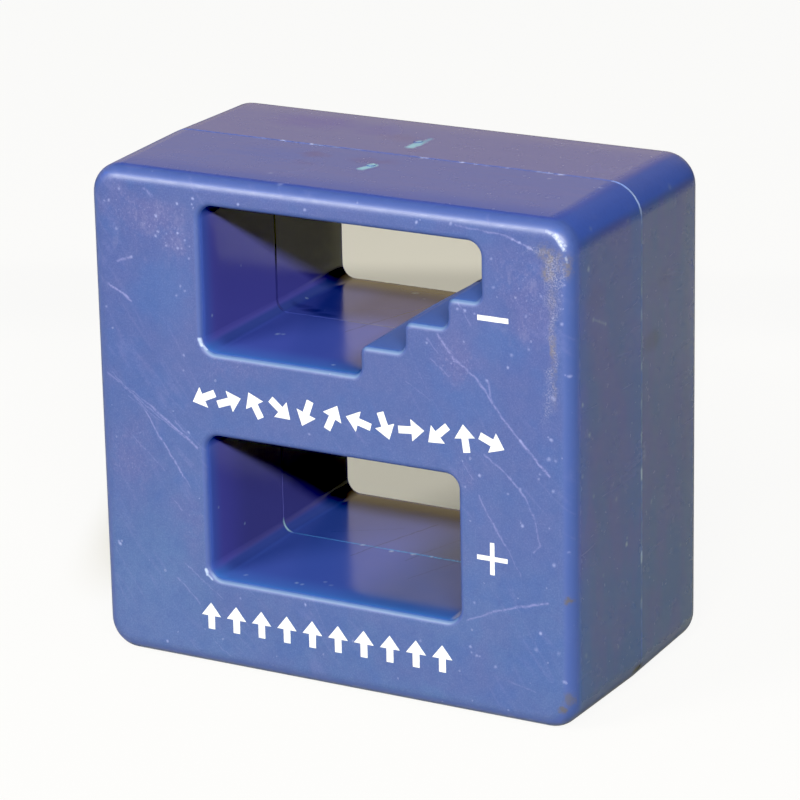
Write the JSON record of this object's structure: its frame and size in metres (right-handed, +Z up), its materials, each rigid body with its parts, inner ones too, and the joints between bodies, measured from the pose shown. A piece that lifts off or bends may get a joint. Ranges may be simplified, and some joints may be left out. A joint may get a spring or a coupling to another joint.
{
  "type": "tool magnetizer and demagnetizer block",
  "caption": "Small moulded two-shell block with a plain window that magnetizes a tool and a stepped window that demagnetizes it, with ferrite magnets sealed inside.",
  "frame": {"origin": "centre of the base, on the plane the block stands on", "axes": "+Z up, -Y out of the marked front face, +X to the right when the front face is seen; the two halves meet at y = 0"},
  "size_m": [0.052, 0.028, 0.05],
  "materials": {
    "blue_shell": "worn satin gloss moulded plastic with fine scuffs",
    "ferrite": "matt ground ceramic magnet",
    "foam": "matt closed-cell foam",
    "white_mark": "matt stamped white fill"
  },
  "bodies": {
    "root": {"front_casing": "blue_shell", "rear_casing": "blue_shell", "middle_magnet": "ferrite", "base_magnet": "ferrite", "middle_magnet_pad": "foam", "base_magnet_pad": "foam", "legend_minus": "white_mark", "legend_plus": "white_mark", "legend_magnetize": "white_mark", "legend_demagnetize": "white_mark"}
  },
  "joints": []
}
